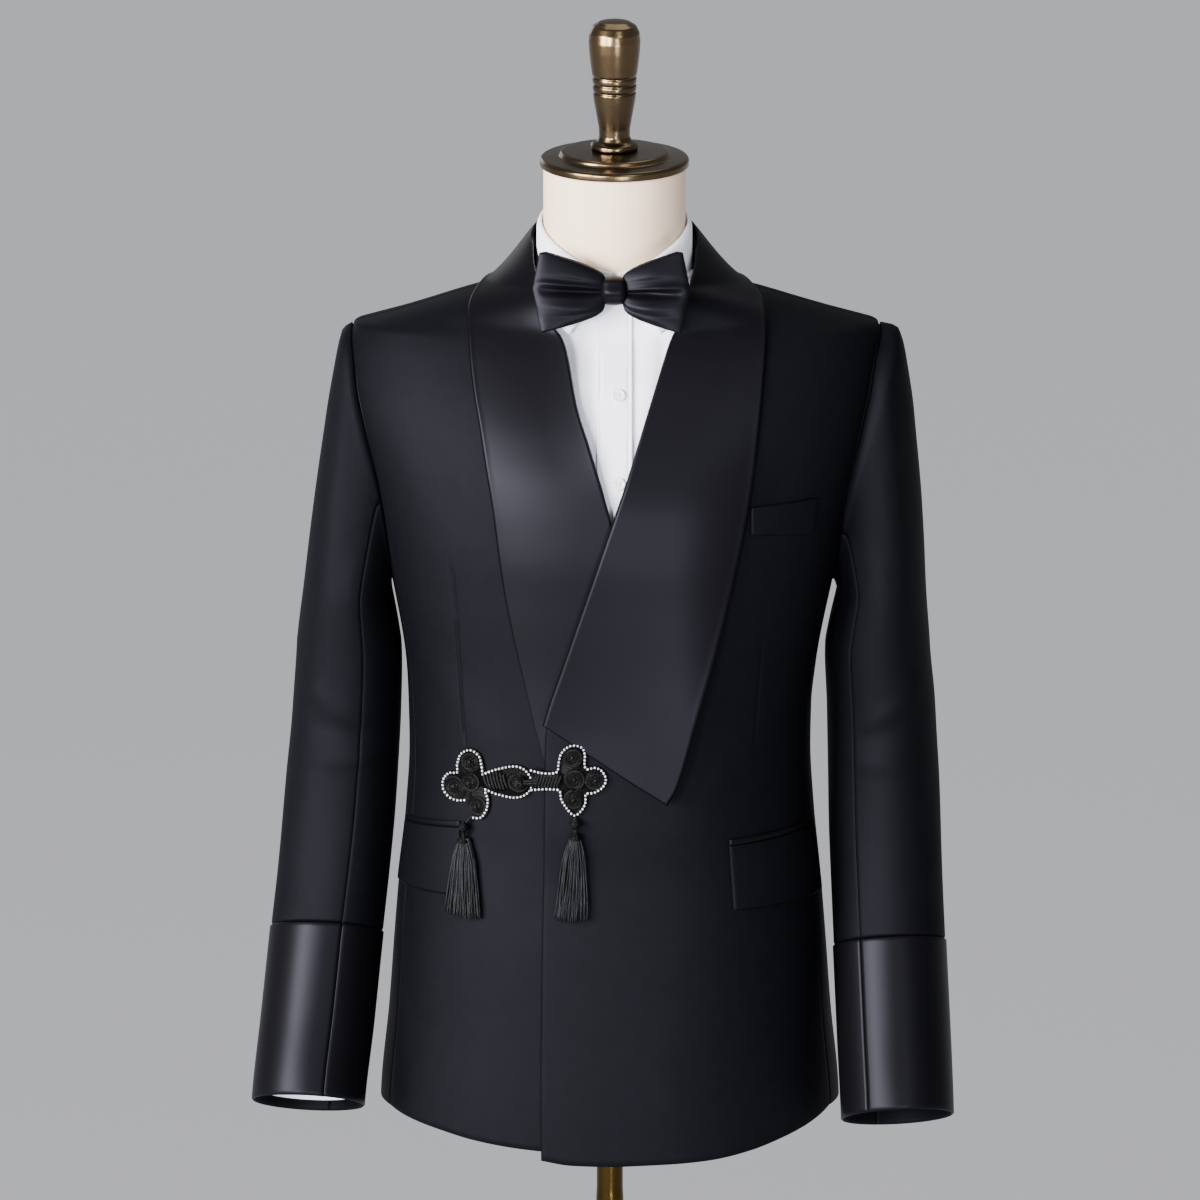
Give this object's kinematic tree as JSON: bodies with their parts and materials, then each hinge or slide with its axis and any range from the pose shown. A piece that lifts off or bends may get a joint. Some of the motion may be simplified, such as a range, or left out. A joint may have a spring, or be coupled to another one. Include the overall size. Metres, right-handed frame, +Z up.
{
  "type": "tuxedo on dress form",
  "caption": "Black wrap-front tuxedo jacket with satin shawl lapels, frog fastening and tassels, over a white shirt and bow tie, worn by a limbless dress form on a stand.",
  "frame": {"origin": "middle of the base's underside, on the floor", "axes": "+Z up, the wearer faces -Y, +X is the wearer's left"},
  "size_m": [0.5754, 0.33, 1.601],
  "materials": {
    "jacket_wool": "matt worsted",
    "satin": "satin",
    "shirt_cotton": "matt poplin",
    "button_pearl": "pearl gloss",
    "braid": "silky cord",
    "form_jersey": "matt jersey",
    "antique_brass": "brushed and darkened"
  },
  "bodies": {
    "root": {"front_left": "jacket_wool", "front_right": "jacket_wool", "side_left": "jacket_wool", "side_right": "jacket_wool", "back_left": "jacket_wool", "back_right": "jacket_wool", "collar_stand": "jacket_wool", "sleeve_top_left": "jacket_wool", "sleeve_top_right": "jacket_wool", "sleeve_under_left": "jacket_wool", "sleeve_under_right": "jacket_wool", "breast_welt": "jacket_wool", "flap_left": "jacket_wool", "flap_right": "jacket_wool", "shawl_left": "satin", "shawl_right": "satin", "cuff_top_left": "satin", "cuff_top_right": "satin", "cuff_under_left": "satin", "cuff_under_right": "satin", "jet_left": "satin", "jet_right": "satin", "bow_wing_left": "satin", "bow_wing_right": "satin", "bow_knot": "satin", "bow_band": "satin", "shirt_front_left": "shirt_cotton", "shirt_front_right": "shirt_cotton", "shirt_back": "shirt_cotton", "shirt_placket": "shirt_cotton", "shirt_collar": "shirt_cotton", "shirt_collar_stand": "shirt_cotton", "shirt_sleeve_left": "shirt_cotton", "shirt_sleeve_right": "shirt_cotton", "shirt_cuff_left": "shirt_cotton", "shirt_cuff_right": "shirt_cotton", "shirt_button_1": "button_pearl", "shirt_button_2": "button_pearl", "shirt_button_3": "button_pearl", "shirt_button_4": "button_pearl", "shirt_button_5": "button_pearl", "frog_right": "braid", "frog_left": "braid", "tassel_right": "braid", "tassel_left": "braid", "form_torso": "form_jersey", "neck_cap": "antique_brass", "finial": "antique_brass", "pole": "antique_brass", "base": "antique_brass"}
  },
  "joints": []
}
